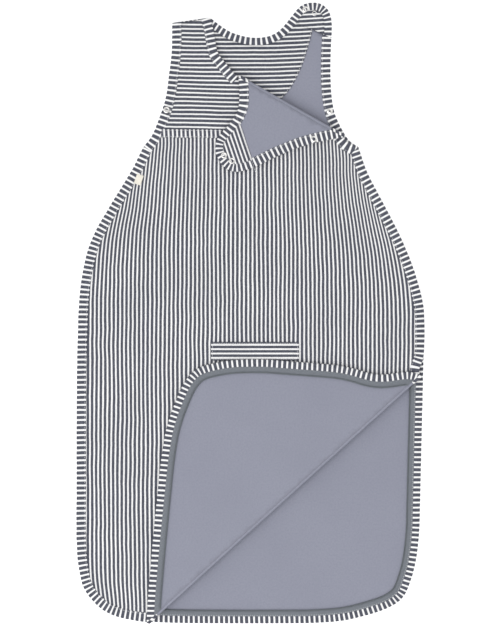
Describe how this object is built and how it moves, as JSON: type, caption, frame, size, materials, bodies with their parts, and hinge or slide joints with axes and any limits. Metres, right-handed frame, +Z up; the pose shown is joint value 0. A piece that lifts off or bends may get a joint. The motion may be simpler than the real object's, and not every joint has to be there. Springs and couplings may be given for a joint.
{
  "type": "baby sleeping bag",
  "caption": "Sleeveless two-layer jersey baby sleeping bag, laid flat, with a side zip, shoulder press studs, harness slots and the lower front corner folded open.",
  "frame": {"origin": "on the floor under the middle of the bag's outline", "axes": "+Y to the neck, +X to the viewer's right as seen from above, +Z up off the floor"},
  "size_m": [0.5042, 0.9001, 0.0199],
  "materials": {
    "outer_jersey": "knitted cotton jersey with narrow slate and white stripes, matt",
    "lining_jersey": "plain grey knitted cotton jersey, matt",
    "striped_facing": "striped cotton jersey facing, matt",
    "striped_binding": "striped rib binding folded round the edge, matt",
    "label_satin": "cream satin loop label, plain",
    "zip_cloth": "woven polyester zip tape, grey-green",
    "zip_coil": "nylon zip coil",
    "zip_metal": "cast zinc, satin",
    "snap_metal": "nickelled open-ring press stud"
  },
  "bodies": {
    "bag": {"back_panel": "outer_jersey", "back_lining": "lining_jersey", "back_slot_facing": "outer_jersey", "back_neck_facing": "striped_facing", "back_hem_binding": "striped_binding", "back_right_armhole_binding": "striped_binding", "back_neck_binding": "striped_binding", "back_left_armhole_binding": "striped_binding", "side_seam_binding": "striped_binding", "shoulder_seam_tape": "striped_binding", "front_panel": "outer_jersey", "front_yoke": "outer_jersey", "front_lining": "lining_jersey", "yoke_seam_band": "striped_binding", "front_side_binding": "striped_binding", "front_right_armhole_binding": "striped_binding", "front_neck_binding": "striped_binding", "front_left_armhole_binding": "striped_binding", "side_label": "label_satin", "back_left_armhole_snap_ring": "snap_metal", "back_left_armhole_snap_stud": "snap_metal", "front_left_armhole_snap_socket": "snap_metal", "front_left_armhole_snap_ring": "snap_metal", "back_right_armhole_snap_ring": "snap_metal", "back_right_armhole_snap_stud": "snap_metal", "zip_back_tape": "zip_cloth", "zip_back_coil": "zip_coil", "zip_front_tape": "zip_cloth", "zip_front_coil": "zip_coil", "zip_bottom_stop": "zip_metal", "zip_top_stop": "zip_metal"},
    "corner_flap": {"corner_panel": "outer_jersey", "corner_lining": "lining_jersey", "corner_binding": "striped_binding", "zip_corner_tape": "zip_cloth", "zip_corner_coil": "zip_coil"},
    "shoulder_strap": {"strap_panel": "outer_jersey", "strap_lining": "lining_jersey", "strap_facing": "striped_facing", "strap_binding": "striped_binding", "strap_snap_ring_1": "snap_metal", "strap_snap_ring_2": "snap_metal", "strap_snap_stud_1": "snap_metal", "strap_snap_stud_2": "snap_metal", "front_right_armhole_snap_socket": "snap_metal", "front_right_armhole_snap_ring": "snap_metal"},
    "back_tab": {"tab_panel": "outer_jersey", "tab_lining": "lining_jersey", "tab_facing": "striped_facing", "tab_binding": "striped_binding", "tab_snap_ring_1": "snap_metal", "tab_snap_ring_2": "snap_metal", "tab_snap_socket_1": "snap_metal", "tab_snap_socket_2": "snap_metal"},
    "zip_slider": {"zip_slider": "zip_metal"},
    "zip_puller": {"zip_puller": "zip_metal"},
    "slot_cover": {"slot_cover": "outer_jersey"}
  },
  "joints": [
    {"name": "corner_fold", "type": "hinge", "parent": "bag", "child": "corner_flap", "pos_m": [0.05135, -0.2648, 0.01365], "axis": [0.7407, 0.6718, 0], "range_deg": [0, 180]},
    {"name": "strap_fold", "type": "hinge", "parent": "bag", "child": "shoulder_strap", "pos_m": [0.05895, 0.2972, 0.01365], "axis": [-0.8689, 0.495, 0], "range_deg": [0, 180]},
    {"name": "tab_fold", "type": "hinge", "parent": "bag", "child": "back_tab", "pos_m": [0.0808, 0.4252, 0.00915], "axis": [0.908, -0.4191, 0], "range_deg": [0, 180]},
    {"name": "zip_slide", "type": "slide", "parent": "bag", "child": "zip_slider", "axis": [-0.0244, -0.9997, 0], "range_m": [0, 0.22]},
    {"name": "puller_swing", "type": "hinge", "parent": "zip_slider", "child": "zip_puller", "pos_m": [0.22825, -0.07539, 0.00675], "axis": [0, 0, 1], "range_deg": [0, 170]},
    {"name": "cover_lift", "type": "hinge", "parent": "bag", "child": "slot_cover", "pos_m": [0.0065, -0.0417, 0.0135], "axis": [-1, 0, 0], "range_deg": [0, 120]}
  ]
}
